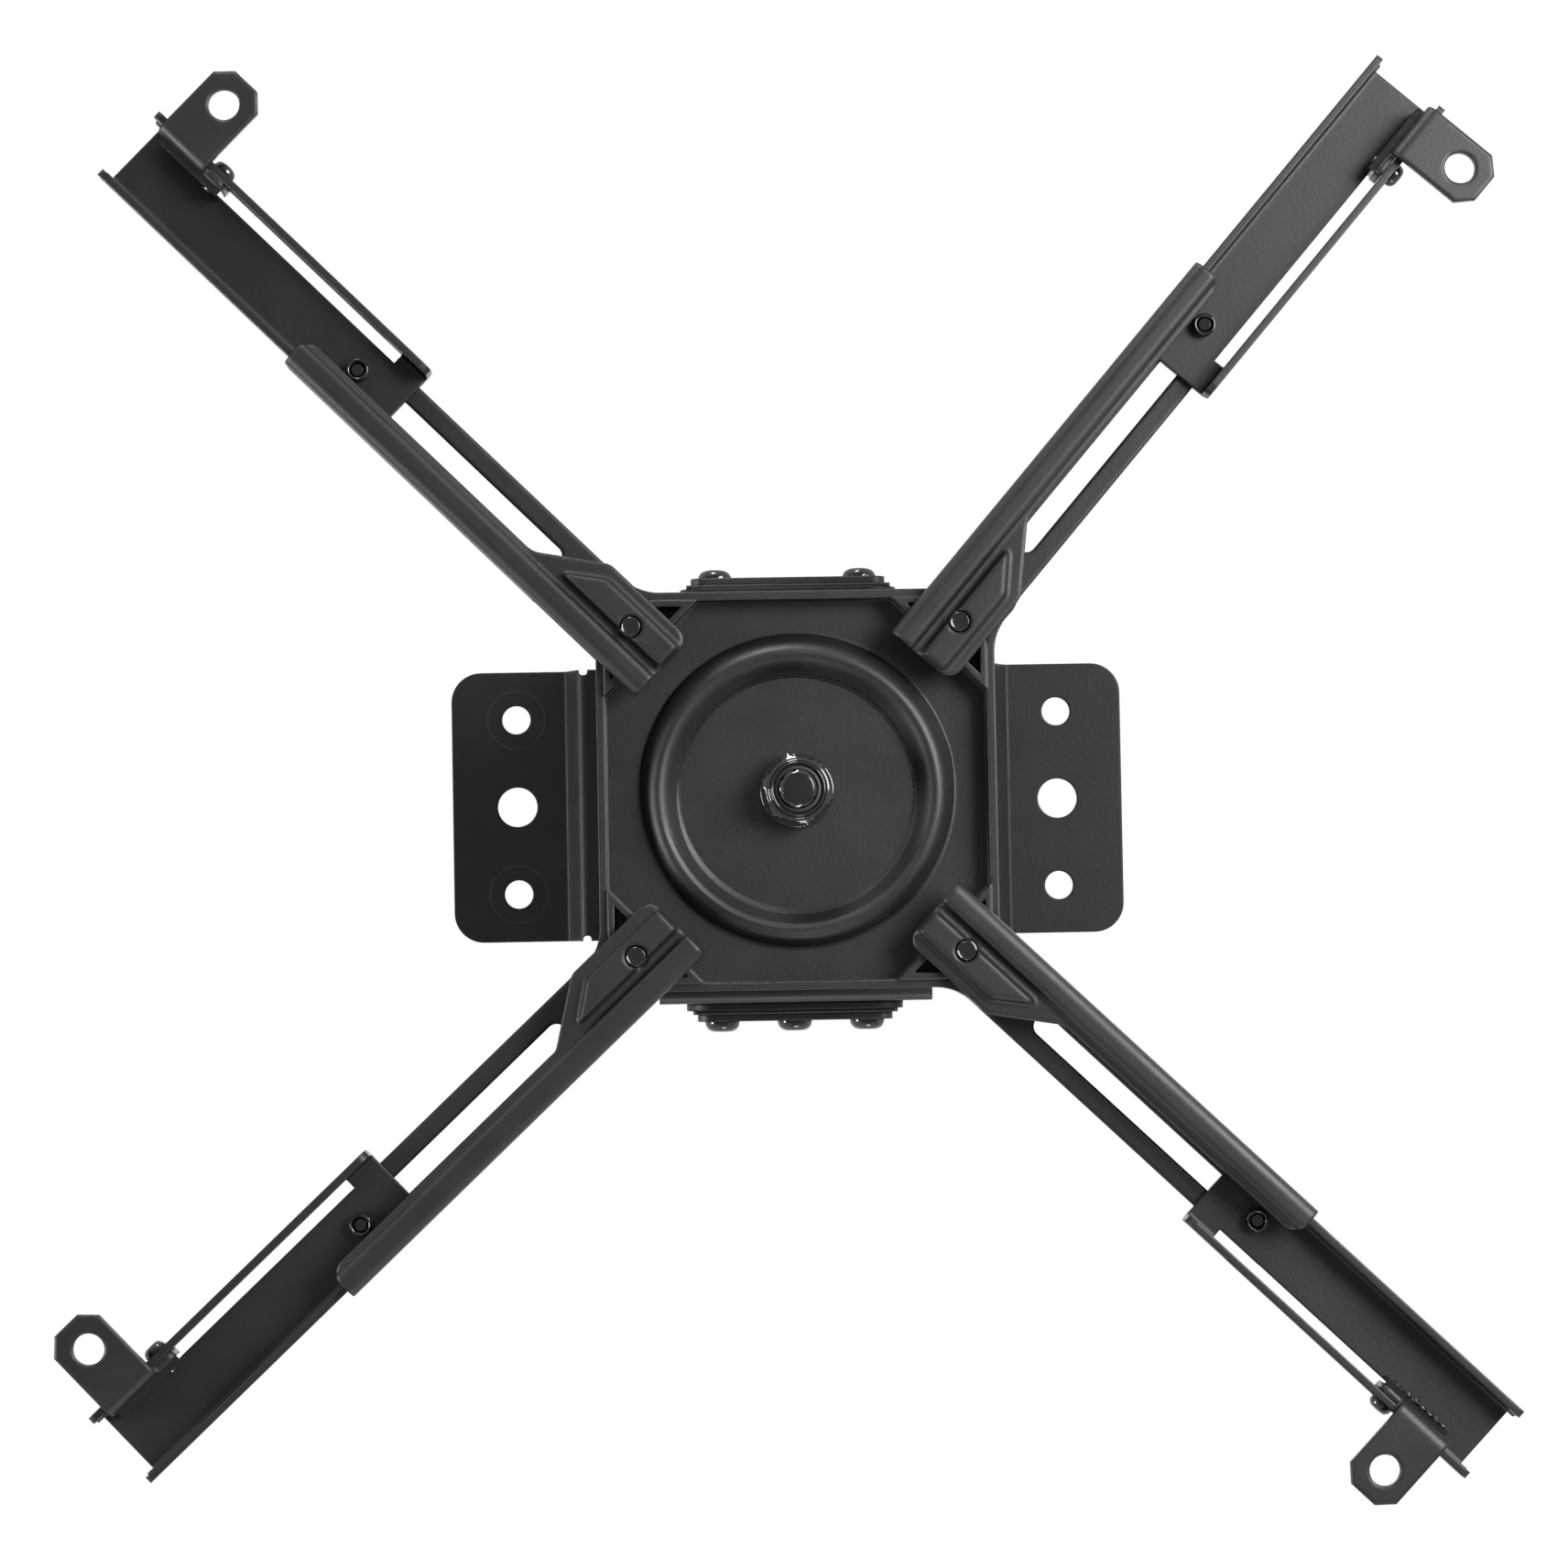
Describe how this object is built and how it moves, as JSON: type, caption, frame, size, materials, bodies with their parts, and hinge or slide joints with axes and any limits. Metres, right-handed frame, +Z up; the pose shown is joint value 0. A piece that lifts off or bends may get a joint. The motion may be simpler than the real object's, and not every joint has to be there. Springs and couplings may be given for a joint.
{
  "type": "projector ceiling mount",
  "caption": "Low ceiling mount for a projector: eared ceiling plate, tilting and swivelling head, and telescopic arms with drilled lugs.",
  "frame": {"origin": "centre of the plane of the ears that lies against the ceiling", "axes": "+Z up into the ceiling, X along the ears, Y along the roll axis"},
  "size_m": [0.3825, 0.3822, 0.1077],
  "materials": {
    "black_powder_coat": "fine satin black powder coat",
    "black_fastener": "glossy black plating on steel",
    "nylon": "black nylon"
  },
  "bodies": {
    "ceiling_unit": {"ceiling_plate": "black_powder_coat", "roll_shim_front": "black_powder_coat", "roll_shim_rear": "black_powder_coat", "clamp_plate_front": "black_powder_coat", "clamp_plate_rear": "black_powder_coat", "roll_lock_screws": "black_fastener", "roll_lock_nuts": "black_fastener", "roll_pivot_screw": "black_fastener", "roll_pivot_nut": "black_fastener", "roll_pivot_rivet": "black_fastener"},
    "gimbal": {"gimbal_frame": "black_powder_coat", "pitch_lock_screws": "black_fastener", "pitch_lock_nuts": "black_fastener", "pitch_pivot_screws": "black_fastener", "pitch_pivot_nuts": "black_fastener"},
    "yoke_unit": {"swivel_yoke": "black_powder_coat", "centre_bolt": "black_fastener", "sleeve_washer": "nylon", "centre_washer": "black_fastener", "centre_lock_nut": "black_fastener"},
    "spider": {"spider_plate": "black_powder_coat", "pivot_pin_1": "black_fastener", "pivot_pin_2": "black_fastener", "pivot_pin_3": "black_fastener", "pivot_pin_4": "black_fastener"},
    "inner_arm_1": {"inner_arm_1": "black_powder_coat"},
    "outer_arm_1": {"outer_arm_1": "black_powder_coat", "slide_screw_1": "black_fastener", "slide_nut_1": "black_fastener"},
    "lug_1": {"lug_bracket_1": "black_powder_coat", "lug_screw_1": "black_fastener", "lug_nut_1": "black_fastener"},
    "inner_arm_2": {"inner_arm_2": "black_powder_coat"},
    "outer_arm_2": {"outer_arm_2": "black_powder_coat", "slide_screw_2": "black_fastener", "slide_nut_2": "black_fastener"},
    "lug_2": {"lug_bracket_2": "black_powder_coat", "lug_screw_2": "black_fastener", "lug_nut_2": "black_fastener"},
    "inner_arm_3": {"inner_arm_3": "black_powder_coat"},
    "outer_arm_3": {"outer_arm_3": "black_powder_coat", "slide_screw_3": "black_fastener", "slide_nut_3": "black_fastener"},
    "lug_3": {"lug_bracket_3": "black_powder_coat", "lug_screw_3": "black_fastener", "lug_nut_3": "black_fastener"},
    "inner_arm_4": {"inner_arm_4": "black_powder_coat"},
    "outer_arm_4": {"outer_arm_4": "black_powder_coat", "slide_screw_4": "black_fastener", "slide_nut_4": "black_fastener"},
    "lug_4": {"lug_bracket_4": "black_powder_coat", "lug_screw_4": "black_fastener", "lug_nut_4": "black_fastener"}
  },
  "joints": [
    {"name": "roll", "type": "hinge", "parent": "ceiling_unit", "child": "gimbal", "pos_m": [0, 0, -0.034], "axis": [0, 1, 0], "range_deg": [-10, 10]},
    {"name": "pitch", "type": "hinge", "parent": "gimbal", "child": "yoke_unit", "pos_m": [0, 0, -0.068], "axis": [1, 0, 0], "range_deg": [-14, 16]},
    {"name": "swivel", "type": "hinge", "parent": "yoke_unit", "child": "spider", "pos_m": [0, -0.0004, -0.091], "axis": [0, 0.0175, 0.9998], "continuous": true},
    {"name": "arm_pivot_1", "type": "hinge", "parent": "spider", "child": "inner_arm_1", "pos_m": [0.0431, 0.04269, -0.09175], "axis": [0, 0.0175, 0.9998], "range_deg": [-33.6, 36.4]},
    {"name": "arm_slide_1", "type": "slide", "parent": "inner_arm_1", "child": "outer_arm_1", "axis": [0.7242, 0.6895, -0.012], "range_m": [-0.0704, 0.0016]},
    {"name": "lug_slide_1", "type": "slide", "parent": "outer_arm_1", "child": "lug_1", "axis": [0.7242, 0.6895, -0.012], "range_m": [-0.0542, 0.0098]},
    {"name": "arm_pivot_2", "type": "hinge", "parent": "spider", "child": "inner_arm_2", "pos_m": [-0.0431, 0.04269, -0.09175], "axis": [0, 0.0175, 0.9998], "range_deg": [-36.8, 33.2]},
    {"name": "arm_slide_2", "type": "slide", "parent": "inner_arm_2", "child": "outer_arm_2", "axis": [-0.729, 0.6844, -0.0119], "range_m": [-0.0661, 0.0059]},
    {"name": "lug_slide_2", "type": "slide", "parent": "outer_arm_2", "child": "lug_2", "axis": [-0.729, 0.6844, -0.0119], "range_m": [-0.0589, 0.0051]},
    {"name": "arm_pivot_3", "type": "hinge", "parent": "spider", "child": "inner_arm_3", "pos_m": [-0.0431, -0.04349, -0.09024], "axis": [0, 0.0175, 0.9998], "range_deg": [-34.6, 35.4]},
    {"name": "arm_slide_3", "type": "slide", "parent": "inner_arm_3", "child": "outer_arm_3", "axis": [-0.712, -0.702, 0.0123], "range_m": [-0.0656, 0.0064]},
    {"name": "lug_slide_3", "type": "slide", "parent": "outer_arm_3", "child": "lug_3", "axis": [-0.712, -0.702, 0.0123], "range_m": [-0.0599, 0.0041]},
    {"name": "arm_pivot_4", "type": "hinge", "parent": "spider", "child": "inner_arm_4", "pos_m": [0.0431, -0.04349, -0.09024], "axis": [0, 0.0175, 0.9998], "range_deg": [-30.5, 39.5]},
    {"name": "arm_slide_4", "type": "slide", "parent": "inner_arm_4", "child": "outer_arm_4", "axis": [0.6494, -0.7603, 0.0133], "range_m": [-0.0697, 0.0023]},
    {"name": "lug_slide_4", "type": "slide", "parent": "outer_arm_4", "child": "lug_4", "axis": [0.6494, -0.7603, 0.0133], "range_m": [-0.0612, 0.0028]}
  ]
}
